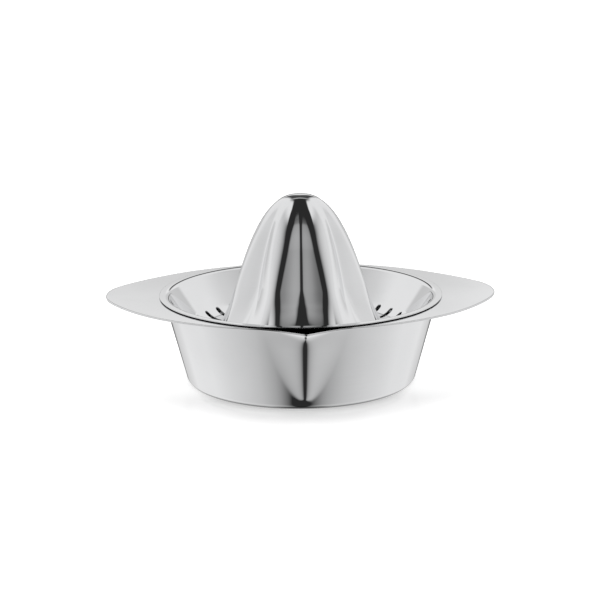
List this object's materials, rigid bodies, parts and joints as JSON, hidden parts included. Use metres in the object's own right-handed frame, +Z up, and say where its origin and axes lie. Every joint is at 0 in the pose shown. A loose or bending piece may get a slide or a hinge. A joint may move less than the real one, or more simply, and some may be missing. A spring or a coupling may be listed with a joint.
{
  "type": "citrus squeezer",
  "caption": "Polished steel citrus squeezer: spouted bowl with wing grips, and a lift-out insert with a slotted strainer dish and a fluted reamer cone.",
  "frame": {"origin": "middle of the base's underside, on the table", "axes": "+X along the two wing grips, +Z up along the reamer cone, spout towards -Y"},
  "size_m": [0.205, 0.155, 0.101],
  "materials": {
    "bowl_steel": "polished",
    "insert_steel": "polished"
  },
  "bodies": {
    "bowl": {"juice_bowl": "bowl_steel"},
    "insert": {"strainer_dish": "insert_steel", "reamer_cone": "insert_steel"}
  },
  "joints": [
    {"name": "insert_lift", "type": "slide", "parent": "bowl", "child": "insert", "axis": [0, 0, 1], "range_m": [0, 0.06]}
  ]
}
